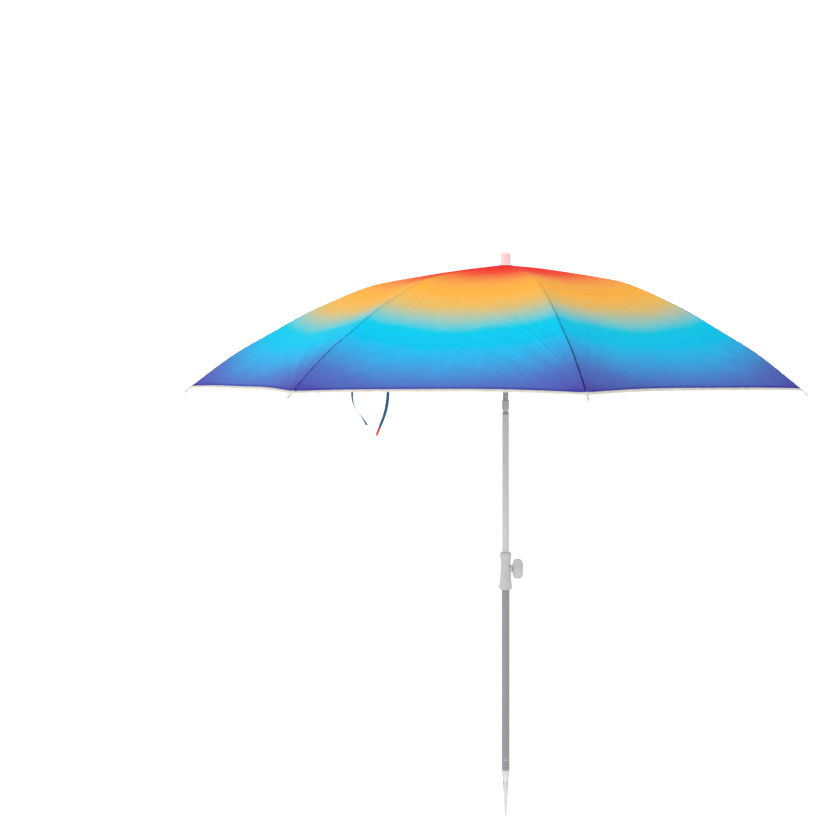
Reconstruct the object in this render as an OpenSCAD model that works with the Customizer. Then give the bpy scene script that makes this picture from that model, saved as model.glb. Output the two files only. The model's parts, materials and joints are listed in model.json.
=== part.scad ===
// Beach umbrella with eight ribs, a sliding runner, a tilt joint and a two-part pole.
// Millimetres, +Z up, origin on the pole's axis at the bottom end of the lower tube.

/* [Canopy] */
// Height of the fabric's apex above the bottom of the lower tube
apex_z = 1394; // [1340:1:1420]
// Radius of the fabric at the ribs' ends
canopy_r = 848; // [838:1:856]
// Thickness of the canopy's shell
fabric = 0.7; // [0.6:0.1:1]
// How far the hem is cut back between two ribs
hem_cut = 17; // [5:1:25]
// Width of the hem binding
hem_w = 9; // [6:1:12]
// Azimuth of the first rib, in degrees
rib_start = 11.5; // [0:0.5:20]

/* [Ribs] */
// Width of a rib across its plane
rib_w = 3.4; // [3:0.1:3.6]
// Height of an inner rib
rib_h = 4.4; // [3.6:0.1:5]
// Thickness of an outer rib
outer_h = 3.2; // [2.8:0.1:3.6]
// Radius of the ring of rib and stretcher hinges
ring_r = 18; // [18:0.1:18.4]
// Radius from the pole to the stretcher joint
joint_r = 355; // [350:1:358]
// Depth of the stretcher joint below the rib's middle
joint_drop = 12; // [11:0.5:14]

/* [Pole] */
// Diameter of the upper tube
upper_d = 16; // [15.6:0.1:16]
// Diameter of the middle tube
middle_d = 19; // [18.6:0.1:19]
// Diameter of the lower tube
lower_d = 22; // [22:0.5:24]
// Wall of all three tubes
wall = 1; // [0.8:0.1:1.1]
// Depth of the tilt pivot below the fabric's apex
pivot_depth = 398; // [390:1:405]
// Length of the middle tube
middle_len = 600; // [560:10:640]
// Height of the clamp's top above the bottom of the lower tube
clamp_top = 600; // [590:1:610]
// Length of the ground spike below the lower tube
spike_len = 130; // [100:5:140]

/* [Hidden] */

// Ribs and panels
ribs = 8;
rib_step = 360 / ribs;
half_step = rib_step / 2;
gap = 1.3;                              // room between the fabric and the ribs
hole_r = 4.6;                           // hole in the middle of the canopy

// The fabric's line over a rib, [radius, depth], with its kink over the stretcher joint
RIB_LINE = [[0, 0], [80, 9], [165, 22], [275, 41.5], [324, 51], [362, 59.5], [411, 77], [475, 105],
            [544, 138], [633, 189], [732, 248], [848, 336], [880, 360.5]];
line_end = 848;                         // radius of the line's point at the hem
line_scale = canopy_r / line_end;
function depth_at(r) = line_scale * lookup(r / line_scale, RIB_LINE);
function azimuth(k) = rib_start + rib_step * (k - 1);

// Hinge of a rib on the crown, joint with its stretcher, and the stretcher's hinge on the runner
eye_r = 3.2;
wire_r = 0.9;
wire_hole_r = 1.1;
crown_depth = depth_at(ring_r) + fabric + gap + eye_r;
bend_depth = depth_at(joint_r) + fabric + gap + rib_h / 2;
joint_depth = bend_depth + joint_drop;
runner_depth = 2 * joint_depth - crown_depth;
pin_r = 1.4;
pin_clear = 0.1;
channel_wall = 0.7;
rivet_r = 1.6;
spike_rivet_r = 2;

// Hub and runner
slot_w = rib_w + 0.8;
slot_in = ring_r - eye_r - 0.6;
hub_r = 21;
hub_t = 6;
hub_up = 2.3;                           // hub's top above the hinge ring
collar_r = 10.8;
tube_r = upper_d / 2;
runner_bore = 11.3;
runner_len = 62;
catch_depth = runner_depth + runner_len;
catch_w = 4.8;
catch_len = 27;

// Tilt joint
ball_r = 8.7;
sleeve_bore = 9;
sleeve_r = 10.2;
sleeve_len = 25;
fork_slot = 6;
pivot_z = apex_z - pivot_depth;
shoulder_z = pivot_z - 12;
tilt_pin_r = 1.6;

// Pole
middle_r = middle_d / 2;
lower_r = lower_d / 2;
bush_len = 30;
middle_foot = shoulder_z - middle_len;
clamp_len = 101;
clamp_foot = clamp_top - clamp_len;
neck_r = lower_r - 0.2;                 // lower tube's swaged end, inside the clamp
neck_top = clamp_top - 20;
bore_r = lower_r - wall - 0.4;          // lower tube's bore, where the bush slides
knob_z = clamp_foot + 56;
knob_in = 18.2;
knob_out = 47;
knob_h = 55;
knob_w = 19;
screw_r = 4;

// Shapes that repeat
module at_rib(k) { rotate([0, 0, azimuth(k)]) children(); }
// A flat piece in the plane of a rib: x is the radius and y the height, w is its width
module in_rib_plane(w) { rotate([90, 0, 0]) translate([0, 0, -w / 2]) linear_extrude(w) children(); }
// A rivet through a tube along Y, flush with the tube's outside
module flush_rivet(z, r, len) {
    translate([0, 0, z]) rotate([90, 0, 0]) intersection() {
        cylinder(r = r, h = len, center = true, $fn = 32);
        rotate([90, 0, 0]) cylinder(r = len / 2, h = 4 * r, center = true, $fn = 96);
    }
}
module rivet_hole(z, r) {
    translate([0, 0, z]) rotate([90, 0, 0]) cylinder(r = r, h = 4 * lower_d, center = true, $fn = 32);
}
module tube(r, t, z0, z1) {
    difference() {
        translate([0, 0, z0]) cylinder(r = r, h = z1 - z0, $fn = 96);
        translate([0, 0, z0 - 1]) cylinder(r = r - t, h = z1 - z0 + 2, $fn = 96);
    }
}

// ---- Lower pole ----
spike_pin_z = 30;
module lower_tube() color([0.55, 0.56, 0.57]) difference() {
    rotate_extrude($fn = 96) polygon([
        [bore_r, 0], [lower_r, 0], [lower_r, clamp_foot - 1], [neck_r, clamp_foot],
        [neck_r, neck_top], [bore_r, neck_top]]);
    rivet_hole(spike_pin_z, spike_rivet_r);
    translate([0, 0, knob_z]) rotate([0, 90, 0]) cylinder(r = window_r, h = 2 * lower_r, $fn = 48);
}
module ground_spike() color([0.93, 0.93, 0.91]) difference() {
    rotate_extrude($fn = 96) polygon([
        [0, -spike_len], [1.5, -spike_len + 0.6], [2.6, -spike_len + 3], [8.4, -26],
        [lower_r - 0.9, -18], [lower_r - 0.5, -16], [lower_r - 0.5, 0], [bore_r, 0],
        [bore_r, 55], [bore_r - 1.5, 58], [0, 58]]);
    rivet_hole(spike_pin_z, spike_rivet_r);
    // Four flutes that lighten the point
    for (a = [45 : 90 : 315]) rotate([0, 0, a]) translate([9.6, 0, -80]) rotate([0, -4.5, 0])
        cylinder(r = 3, h = 50, $fn = 32);
}
module spike_rivet() color([0.8, 0.8, 0.8]) flush_rivet(spike_pin_z, spike_rivet_r, lower_d);

// Waisted collar: the bore fits the lower tube's swaged end, and the top lets the middle tube slide
module clamp_body() color([0.95, 0.95, 0.94]) difference() {
    union() {
        rotate_extrude($fn = 96) polygon([
            [0, clamp_foot], [17.2, clamp_foot], [18.2, clamp_foot + 1.2], [18.2, clamp_foot + 7],
            [17.4, clamp_foot + 13], [16.2, clamp_foot + 22], [15.3, clamp_foot + 34],
            [14.5, clamp_foot + 48], [13.9, clamp_foot + 62], [13.85, clamp_foot + 74],
            [14.3, clamp_foot + 82], [15.4, clamp_foot + 88], [16, clamp_foot + 91],
            [16, clamp_top - 2.5], [15.4, clamp_top - 0.8], [14, clamp_top], [0, clamp_top]]);
        // Boss for the clamp screw
        translate([0, 0, knob_z]) rotate([0, 90, 0]) cylinder(r = 10.5, h = knob_in - 0.4, $fn = 64);
        // Rim of the boss against the collar
        translate([12, 0, knob_z]) rotate([0, 90, 0]) cylinder(r1 = 12.5, r2 = 10.5, h = 3.4, $fn = 64);
    }
    translate([0, 0, clamp_foot - 1]) cylinder(r = neck_r, h = neck_top - clamp_foot + 1, $fn = 96);
    cylinder(r = middle_r + 0.25, h = 2 * clamp_top, $fn = 96);
    translate([0, 0, knob_z]) rotate([0, 90, 0]) cylinder(r = screw_r + 0.1, h = 40, $fn = 48);
}
// Curved pad between the screw and the middle tube, in the lower tube's window
module clamp_pad() color([0.75, 0.75, 0.74]) intersection() {
    translate([8, 0, knob_z]) rotate([0, 90, 0]) cylinder(r = window_r - 0.3, h = 6, $fn = 48);
    difference() {
        translate([0, 0, knob_z]) cylinder(r = neck_r, h = 12, center = true, $fn = 96);
        translate([0, 0, knob_z]) cylinder(r = middle_r + 0.1, h = 14, center = true, $fn = 96);
    }
}
// Wing knob: two rounded lobes, thicker at the hub, turning about X
module clamp_knob() color([0.95, 0.95, 0.94]) {
    wing = knob_h / 2 - knob_w / 2;
    difference() {
        union() {
            translate([knob_in, 0, knob_z]) rotate([0, 90, 0]) cylinder(r = 10.5, h = 6, $fn = 64);
            hull() for (s = [-1, 1], x = [knob_in + 9, knob_out - 6.5])
                translate([x, 0, knob_z + s * (wing + (x - knob_in > 12 ? -0.5 : 0))]) rotate([0, 90, 0])
                    rotate_extrude($fn = 32) polygon([[0, -5.5], [knob_w / 2 - 3, -5.5],
                        [knob_w / 2, -3], [knob_w / 2, 3], [knob_w / 2 - 3, 6.5], [0, 6.5]]);
        }
        translate([knob_in - 1, 0, knob_z]) rotate([0, 90, 0]) cylinder(r = screw_r, h = 21, $fn = 48);
        // Finger hollow on each side of the wing
        for (s = [-1, 1]) translate([knob_in + 18, s * (knob_w / 2 + 13.5), knob_z])
            rotate([0, 90, 0]) cylinder(r = 16, h = 60, center = true, $fn = 64);
    }
}
module clamp_screw() color([0.75, 0.75, 0.77])
    translate([neck_r + 0.2, 0, knob_z]) rotate([0, 90, 0])
        cylinder(r = screw_r, h = knob_in + 20 - neck_r - 0.2, $fn = 48);

// ---- Middle pole ----
fork_pin_z = shoulder_z - 28;
fork_foot = shoulder_z - 42;
window_r = 5;                           // hole in the lower tube that the clamp pad works through
module middle_tube() color([0.78, 0.79, 0.8]) difference() {
    tube(middle_r, wall, middle_foot, shoulder_z - 3);
    rivet_hole(fork_pin_z, rivet_r);
}
module tube_bush() color([0.9, 0.9, 0.88]) difference() {
    union() {
        translate([0, 0, middle_foot - 4]) cylinder(r = bore_r - 0.05, h = 4, $fn = 96);
        translate([0, 0, middle_foot]) cylinder(r = middle_r - wall, h = bush_len, $fn = 96);
    }
    translate([0, 0, middle_foot - 5]) cylinder(r = 5, h = bush_len + 6, $fn = 48);
}
// Knuckle of the tilt joint: a slotted ball on a neck, a rounded shoulder and a plug in the tube
module tilt_fork() color([0.82, 0.82, 0.83]) difference() {
    union() {
        translate([0, 0, pivot_z]) sphere(r = ball_r, $fn = 96);
        rotate_extrude($fn = 96) polygon([
            [0, pivot_z - 4], [7.4, pivot_z - 4.6], [8.2, pivot_z - 5.6], [8.2, pivot_z - 9],
             [8.4, pivot_z - 10.4],
            [9.1, shoulder_z - 0.6], [middle_r, shoulder_z - 1.8], [middle_r, shoulder_z - 3],
            [middle_r - wall, shoulder_z - 3], [middle_r - wall, fork_foot], [0, fork_foot]]);
    }
    // Slot for the tongue, round at its foot
    translate([0, 0, pivot_z]) rotate([90, 0, 0]) cylinder(r = 7.6, h = fork_slot, center = true, $fn = 64);
    translate([-15, -fork_slot / 2, pivot_z]) cube([30, fork_slot, 20]);
    rivet_hole(pivot_z, tilt_pin_r);
    rivet_hole(fork_pin_z, rivet_r);
}
module fork_rivet() color([0.8, 0.8, 0.8]) flush_rivet(fork_pin_z, rivet_r, middle_d);
module tilt_pin() color([0.75, 0.75, 0.77]) translate([0, 0, pivot_z]) rotate([90, 0, 0])
    cylinder(r = tilt_pin_r, h = 16.6, center = true, $fn = 48);

// ---- Tilt sleeve ----
module tilt_sleeve() color([0.85, 0.85, 0.86]) difference() {
    rotate_extrude($fn = 96) polygon([
        [0, pivot_z], [sleeve_r - 0.5, pivot_z], [sleeve_r, pivot_z + 0.6],
        [sleeve_r, pivot_z + sleeve_len - 1.4], [sleeve_r - 1.2, pivot_z + sleeve_len],
        [0, pivot_z + sleeve_len]]);
    translate([0, 0, pivot_z - 1]) cylinder(r = sleeve_bore, h = 18, $fn = 96);
    translate([0, 0, pivot_z]) cylinder(r = tube_r + 0.15, h = sleeve_len + 1, $fn = 96);
}

// ---- Upper pole ----
tongue_w = 11.2;
tongue_h = 11;                          // from the pivot to the upper tube's end
tongue_plug = 32;
tongue_pin_z = pivot_z + 34;
tube_top = apex_z - 8;
crown_pin_z = apex_z - 20;
module upper_tube() color([0.86, 0.87, 0.89]) difference() {
    tube(tube_r, wall, pivot_z + tongue_h, tube_top);
    rivet_hole(tongue_pin_z, rivet_r);
    rivet_hole(crown_pin_z, rivet_r);
    // Slot for the runner catch
    translate([tube_r, 0, apex_z - catch_depth - catch_len / 2])
        cube([tube_r, catch_w + 0.8, catch_len + 1.4], center = true);
}
module tilt_tongue() color([0.82, 0.82, 0.83]) difference() {
    union() {
        translate([0, 0, pivot_z]) rotate([90, 0, 0])
            cylinder(r = 7.3, h = fork_slot - 0.5, center = true, $fn = 64);
        translate([-tongue_w / 2, -fork_slot / 2 + 0.25, pivot_z])
            cube([tongue_w, fork_slot - 0.5, tongue_h]);
        translate([0, 0, pivot_z + tongue_h]) cylinder(r = tube_r - wall, h = tongue_plug, $fn = 96);
    }
    rivet_hole(pivot_z, tilt_pin_r + 0.06);
    rivet_hole(tongue_pin_z, rivet_r);
}
module tongue_rivet() color([0.8, 0.8, 0.8]) flush_rivet(tongue_pin_z, rivet_r, upper_d);

// A disc with one slot for each rib, open downwards; z is the height of the hinge ring
module slotted_disc(z, up, down, rim) {
    difference() {
        translate([0, 0, z - down]) cylinder(r = rim, h = up + down, $fn = 96);
        for (k = [1 : ribs]) at_rib(k)
            translate([slot_in, -slot_w / 2, z - down - 1]) cube([rim, slot_w, up + down + 2]);
    }
}
module hinge_ring(z) rotate_extrude($fn = 96) translate([ring_r, z]) circle(r = wire_r, $fn = 24);

crown_z = apex_z - crown_depth;
module crown_hub() color([0.9, 0.9, 0.88]) difference() {
    union() {
        slotted_disc(crown_z, hub_up, hub_t - hub_up, hub_r);
        translate([0, 0, crown_z - 20]) cylinder(r = collar_r, h = 21, $fn = 96);
    }
    translate([0, 0, crown_z - 21]) cylinder(r = tube_r, h = tube_top - crown_z + 21, $fn = 96);
    cylinder(r = 3.5, h = 2 * apex_z, $fn = 48);
    hinge_ring(crown_z);
    rivet_hole(crown_pin_z, rivet_r);
}
module crown_ring() color([0.75, 0.75, 0.77]) hinge_ring(crown_z);
module crown_pin() color([0.8, 0.8, 0.8]) flush_rivet(crown_pin_z, rivet_r, 2 * collar_r);

// Finial: a threaded stud, a flared foot on the fabric and a fluted, round-topped cap
finial_h = 35;
finial_r = 14;
flutes = 20;
module finial() color([0.95, 0.9, 0.9]) {
    slope = depth_at(20) / 20;
    translate([0, 0, crown_z - 6]) cylinder(r = 3.5, h = crown_depth + 8, $fn = 48);
    difference() {
        rotate_extrude($fn = 96) polygon(concat(
            [[3.4, apex_z - 3.4 * slope + 0.15], [20, apex_z - 20 * slope + 0.15],
             [20, apex_z - 0.6], [17.6, apex_z + 1.6], [14.8, apex_z + 3], [finial_r, apex_z + 5]],
            [for (a = [0 : 10 : 90]) [finial_r - 5 + 5 * cos(a), apex_z + finial_h - 5 + 5 * sin(a)]],
            [[0, apex_z + finial_h], [0, apex_z + 1], [3.4, apex_z + 1]]));
        for (k = [1 : flutes]) rotate([0, 0, k * 360 / flutes])
            translate([finial_r + 0.55, 0, apex_z + 4]) cylinder(r = 1.1, h = finial_h, $fn = 16);
    }
}
// Round reinforcement patch between the hub and the fabric
module center_patch() color([0.2, 0.25, 0.6]) {
    slope = depth_at(14) / 14 / cos(half_step);
    rotate_extrude($fn = 96) polygon([for (p = [[hole_r, 0.12], [13.8, 0.12], [13.8, 0.6], [hole_r, 0.6]])
        [p[0], apex_z - p[0] * slope - fabric - p[1]]]);
}
// Latch that holds the runner up: a wedge on a leaf, in the upper tube's slot
module runner_catch() color([0.75, 0.75, 0.77])
    translate([0, 0, apex_z - catch_depth]) rotate([90, 0, 0]) linear_extrude(catch_w, center = true)
        polygon([[3.2, -0.4], [13.2, -0.4], [13.2, -3], [8, -24], [6.2, -catch_len], [3.2, -catch_len]]);

// ---- Runner ----
runner_z = apex_z - runner_depth;
module runner() color([0.92, 0.92, 0.9]) difference() {
    union() {
        slotted_disc(runner_z, 4.5, 4.5, hub_r);
        translate([0, 0, runner_z - runner_len]) cylinder(r = 14, h = runner_len + 4.5, $fn = 96);
        translate([0, 0, runner_z - runner_len]) cylinder(r = 15.6, h = 4, $fn = 96);
        translate([0, 0, runner_z - 36]) cylinder(r = 14.6, h = 4, $fn = 96);
    }
    translate([0, 0, runner_z - runner_len - 1]) cylinder(r = runner_bore, h = runner_len + 10, $fn = 96);
    hinge_ring(runner_z);
}
module runner_ring() color([0.75, 0.75, 0.77]) hinge_ring(runner_z);

// ---- Ribs and stretchers ----
// Band that follows the fabric's line from r0 to r1, top and bottom at the given depths below it
module line_band(r0, r1, top, bottom) {
    inner = [for (p = RIB_LINE) if (p[0] * line_scale > r0 && p[0] * line_scale < r1) p[0] * line_scale];
    radii = concat([r0], inner, [r1]);
    last = len(radii) - 1;
    polygon(concat([for (r = radii) [r, apex_z - depth_at(r) - top]],
                   [for (i = [last : -1 : 0]) [radii[i], apex_z - depth_at(radii[i]) - bottom]]));
}
joint_z = apex_z - joint_depth;
bend_z = apex_z - bend_depth;
module rib_inner(k) color([0.86, 0.87, 0.88]) at_rib(k) {
    top = fabric + gap;
    difference() {
        in_rib_plane(rib_w) {
            translate([ring_r, crown_z]) circle(r = eye_r, $fn = 48);
            line_band(ring_r, joint_r, top, top + rib_h);
            translate([joint_r, bend_z]) circle(r = rib_h / 2, $fn = 48);
            // Lug that carries the stretcher
            translate([joint_r - 5, joint_z]) square([10, joint_drop]);
            translate([joint_r, joint_z]) circle(r = 5, $fn = 48);
        }
        // The rib is a channel, open downwards
        in_rib_plane(rib_w - 2 * channel_wall)
            line_band(ring_r + 12, joint_r - 12, top + channel_wall, top + rib_h + 1);
        translate([ring_r, 0, crown_z]) rotate([90, 0, 0])
            cylinder(r = wire_hole_r, h = 20, center = true, $fn = 32);
    }
    // Rivets of the bend and of the stretcher
    for (z = [bend_z, joint_z]) translate([joint_r, 0, z]) rotate([90, 0, 0])
        cylinder(r = pin_r, h = rib_w + 4.6, center = true, $fn = 32);
}
cheek = 1.3;                            // thickness of a fork's cheek
cheek_in = rib_w / 2 + 0.25;
tip_r = canopy_r + 1.5;                 // where a rib's cap begins, just outside the hem
module cheeks() for (s = [-1, 1])
    translate([0, s * (cheek_in + cheek / 2), 0]) in_rib_plane(cheek) children();
module rod(r0, r1) { in_rib_plane(outer_h) line_band(r0, r1, fabric + gap, fabric + gap + outer_h); }
module rib_outer(k) color([0.9, 0.9, 0.9]) at_rib(k) {
    top = fabric + gap;
    difference() {
        union() {
            cheeks() {
                translate([joint_r, bend_z]) circle(r = 3, $fn = 48);
                line_band(joint_r, joint_r + 16, top, top + outer_h + 0.9);
            }
            in_rib_plane(2 * cheek_in + 0.2) line_band(joint_r + 8, joint_r + 16, top, top + outer_h + 0.9);
            rod(joint_r + 15, tip_r + 4);
        }
        translate([joint_r, 0, bend_z]) rotate([90, 0, 0])
            cylinder(r = pin_r + pin_clear, h = 20, center = true, $fn = 32);
    }
}
// From the rib's lug to the runner: a fork, a straight bar and an eye
module stretcher(k) color([0.86, 0.87, 0.88]) at_rib(k) {
    slope = atan((joint_z - runner_z) / (joint_r - ring_r));
    reach = norm([joint_r - ring_r, joint_z - runner_z]);
    translate([ring_r, 0, runner_z]) rotate([0, -slope, 0]) difference() {
        union() {
            difference() {
                in_rib_plane(rib_w) {
                    circle(r = eye_r, $fn = 48);
                    translate([0, -1.9]) square([reach - 14, 3.8]);
                }
                // The stretcher is a channel, open upwards
                in_rib_plane(rib_w - 2 * channel_wall)
                    translate([12, -1.9 + channel_wall]) square([reach - 38, 3.8]);
            }
            in_rib_plane(2 * cheek_in + 0.2) translate([reach - 22, -2.4]) square([10, 4.8]);
            cheeks() {
                translate([reach, 0]) circle(r = 3.6, $fn = 48);
                translate([reach - 22, -2.4]) square([22, 4.8]);
            }
        }
        rotate([90, 0, 0]) cylinder(r = wire_hole_r, h = 20, center = true, $fn = 32);
        translate([reach, 0, 0]) rotate([90, 0, 0])
            cylinder(r = pin_r + pin_clear, h = 20, center = true, $fn = 32);
    }
}
// Moulded cap on a rib's end: a socket round the rod and a small ball
module rib_tip(k) color([0.95, 0.95, 0.93]) at_rib(k) difference() {
    slope = atan((depth_at(canopy_r + 20) - depth_at(canopy_r - 20)) / 40);
    translate([tip_r, 0, apex_z - depth_at(tip_r) - fabric - gap - outer_h / 2])
    rotate([0, 90 + slope, 0]) {
        cylinder(r1 = 2.5, r2 = 2.9, h = 7, $fn = 32);
        translate([0, 0, 8.4]) sphere(r = 3.2, $fn = 32);
    }
    rod(tip_r - 9, tip_r + 4);
}

// ---- Canopy ----
across = 8;                             // steps across a panel
// Radius at the ribs of the hem's edge, at u = -1 to 1 across a panel
function hem_r(u) = canopy_r - hem_cut * (1 - u * u);
// Point of a panel: r is the radius at the ribs, u goes across, drop is the depth below the surface
function panel_point(panel, r, u, drop) =
    let (a = azimuth(panel) + half_step, x = r * cos(half_step), y = r * sin(half_step) * u)
    [x * cos(a) - y * sin(a), x * sin(a) + y * cos(a), apex_z - depth_at(r) - drop];
// A closed ring around the pole: sections are its outlines, one for each station round the canopy
module ring_solid(sections) {
    n = len(sections);
    m = len(sections[0]);
    polyhedron([for (s = sections) each s], [for (i = [0 : n - 1], j = [0 : m - 1])
        let (a = i * m + j, b = i * m + (j + 1) % m,
             c = (i + 1) % n * m + (j + 1) % m, d = (i + 1) % n * m + j)
        each [[a, b, c], [a, c, d]]]);
}
// A shell of the canopy's surface from radius r0 to the hem, between two depths below it
module panel_shell(r0, shares, top, bottom) {
    last = len(shares) - 1;
    ring_solid([for (p = [1 : ribs], i = [0 : across - 1])
        let (u = -1 + 2 * i / across, inner = r0(u), reach = hem_r(u) - inner)
        concat([for (s = shares) panel_point(p, inner + s * reach, u, top)],
               [for (j = [last : -1 : 0]) panel_point(p, inner + shares[j] * reach, u, bottom)])]);
}
canopy_shares = [for (p = RIB_LINE) if (p[0] <= line_end) max(0, (p[0] - hole_r) / (line_end - hole_r))];
module canopy() color([0.1, 0.6, 0.9]) panel_shell(function (u) hole_r, canopy_shares, 0, fabric);
// White tape on the canopy's edge
module hem_binding() color([0.93, 0.92, 0.88])
    panel_shell(function (u) hem_r(u) - hem_w, [0, 1], -0.9, -0.1);

// ---- Tie straps ----
strap_panel = 3;
strap_w = 10.5;
module tie_strap(offset, length) color([0, 0.33, 0.5]) {
    u = offset / (canopy_r * sin(half_step));
    translate(panel_point(strap_panel, hem_r(u) - 8, u, fabric + 1.2))
        rotate([0, 0, azimuth(strap_panel) + half_step])
            translate([0, -strap_w / 2, -length]) cube([0.8, strap_w, length]);
}
module tie_strap_1() tie_strap(88, 160);
module tie_strap_2() tie_strap(-48, 190);

lower_tube();
ground_spike();
spike_rivet();
clamp_body();
clamp_pad();
clamp_knob();
clamp_screw();
middle_tube();
tube_bush();
tilt_fork();
fork_rivet();
tilt_pin();
tilt_sleeve();
upper_tube();
tilt_tongue();
tongue_rivet();
crown_hub();
crown_ring();
crown_pin();
finial();
center_patch();
runner_catch();
runner();
runner_ring();
canopy();
hem_binding();
tie_strap_1();
tie_strap_2();
for (k = [1 : ribs]) {
    rib_inner(k);
    rib_outer(k);
    stretcher(k);
    rib_tip(k);
}
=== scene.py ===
"""Beach umbrella: fabric, bindings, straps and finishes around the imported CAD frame."""
import json
import math

import bpy
import numpy as np
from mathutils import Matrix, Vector


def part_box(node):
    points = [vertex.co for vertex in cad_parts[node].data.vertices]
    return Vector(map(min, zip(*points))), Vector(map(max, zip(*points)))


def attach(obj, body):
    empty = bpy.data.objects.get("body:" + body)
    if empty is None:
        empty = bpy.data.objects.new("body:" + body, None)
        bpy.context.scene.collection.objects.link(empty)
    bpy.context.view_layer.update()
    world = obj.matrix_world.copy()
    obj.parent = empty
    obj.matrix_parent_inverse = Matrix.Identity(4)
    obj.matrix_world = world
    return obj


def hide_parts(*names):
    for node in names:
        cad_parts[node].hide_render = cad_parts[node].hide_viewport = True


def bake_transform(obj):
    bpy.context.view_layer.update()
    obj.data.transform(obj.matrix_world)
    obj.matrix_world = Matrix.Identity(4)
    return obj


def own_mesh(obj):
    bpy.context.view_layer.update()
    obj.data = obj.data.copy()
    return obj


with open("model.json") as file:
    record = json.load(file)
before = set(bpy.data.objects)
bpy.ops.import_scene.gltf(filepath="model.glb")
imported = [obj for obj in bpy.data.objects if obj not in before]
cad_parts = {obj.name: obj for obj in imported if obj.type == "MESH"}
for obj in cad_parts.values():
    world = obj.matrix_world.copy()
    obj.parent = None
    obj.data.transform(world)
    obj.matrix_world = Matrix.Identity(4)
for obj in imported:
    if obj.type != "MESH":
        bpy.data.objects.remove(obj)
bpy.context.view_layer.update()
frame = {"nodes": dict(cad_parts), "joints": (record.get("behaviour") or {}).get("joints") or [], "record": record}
scene = bpy.context.scene
MM = 0.001

# ---- Camera: level, just above the canopy's rim, with the pole right of the middle ----
CAMERA_DISTANCE = 3.31
CAMERA_HEIGHT = 1.127
POLE_RIGHT_OF_MIDDLE = 0.1114           # shares of the image's width
HORIZON_ABOVE_MIDDLE = 0.0626
CAMERA_LENS = 52.15                     # mm, on a sensor 36 mm wide
camera = bpy.data.objects.new("camera", bpy.data.cameras.new("camera"))
camera.location = (0, -CAMERA_DISTANCE, CAMERA_HEIGHT)
camera.rotation_euler = (math.radians(90), 0, 0)
camera.data.sensor_width = 36
camera.data.lens = CAMERA_LENS
camera.data.shift_x = -POLE_RIGHT_OF_MIDDLE
camera.data.shift_y = -HORIZON_ABOVE_MIDDLE
camera.data.clip_end = 200
scene.collection.objects.link(camera)
scene.camera = camera

# ---- Places from the frame ----
joints = {j["name"]: j for j in frame["joints"]}
RIBS = 8
STEP = 2 * math.pi / RIBS
HALF = STEP / 2
CROWN = Vector(joints["canopy_fold"]["pos_m"])          # rib 1's hinge
BEND = Vector(joints["rib_flex_1"]["pos_m"])            # rib 1's bend, over its stretcher
FOLD = math.radians(max(joints["canopy_fold"]["range_deg"]))
FLEX = math.radians(min(joints["rib_flex_1"]["range_deg"]))
FIRST = math.atan2(CROWN.y, CROWN.x)
BEND_R = math.hypot(BEND.x, BEND.y)


def azimuth(k):
    return FIRST + STEP * (k - 1)


def panel_beside(k, side):
    """The panel after rib k, or the one before it where side isn't above 0."""
    return k if side > 0 else (k - 2) % RIBS + 1


def rib_line():
    """Radius and height of the fabric over rib 1, from the outer vertices of the CAD canopy."""
    along = Vector((math.cos(FIRST), math.sin(FIRST), 0))
    across = Vector((-math.sin(FIRST), math.cos(FIRST), 0))
    heights = {}
    for v in frame["nodes"]["canopy"].data.vertices:
        if abs(v.co.dot(across)) < 0.1 * MM and v.co.dot(along) > 0:
            r = round(v.co.dot(along), 4)
            heights[r] = max(heights.get(r, -9), v.co.z)
    return sorted(heights.items())


LINE = rib_line()
RIM_R = LINE[-1][0]
slope_0 = (LINE[1][1] - LINE[0][1]) / (LINE[1][0] - LINE[0][0])
APEX_Z = LINE[0][1] - slope_0 * LINE[0][0]
PAST_RIM = 0.04                         # the curve runs on this far past the rim
RIM_FALL = 0.78                         # fall for each unit outwards there
LINE_R = np.array([0] + [r for r, z in LINE] + [RIM_R + PAST_RIM])
LINE_Z = np.array([APEX_Z] + [z for r, z in LINE] + [LINE[-1][1] - PAST_RIM * RIM_FALL])
chord = np.diff(LINE_Z) / np.diff(LINE_R)
LINE_SLOPE = np.concatenate([[chord[0]], (chord[1:] + chord[:-1]) / 2, [chord[-1]]])


def height(r):
    """Height of the fabric over a rib: a smooth curve through the rib's line."""
    r = np.asarray(r, float)
    i = np.clip(np.searchsorted(LINE_R, r) - 1, 0, len(LINE_R) - 2)
    span = LINE_R[i + 1] - LINE_R[i]
    t = np.clip((r - LINE_R[i]) / span, 0, 1.2)
    return ((2 * t**3 - 3 * t**2 + 1) * LINE_Z[i] + (t**3 - 2 * t**2 + t) * span * LINE_SLOPE[i]
            + (3 * t**2 - 2 * t**3) * LINE_Z[i + 1] + (t**3 - t**2) * span * LINE_SLOPE[i + 1])


middle_vertices = [v.co for v in frame["nodes"]["canopy"].data.vertices
                   if abs((math.atan2(v.co.y, v.co.x) - FIRST) % STEP - HALF) < 0.01]
HEM_CUT = RIM_R - max(math.hypot(co.x, co.y) for co in middle_vertices) / math.cos(HALF)


def hem_r(u):
    """Radius at the ribs of the hem's edge, with its shallow cut between two ribs."""
    return RIM_R - HEM_CUT * (1 - np.asarray(u) ** 2)


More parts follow.
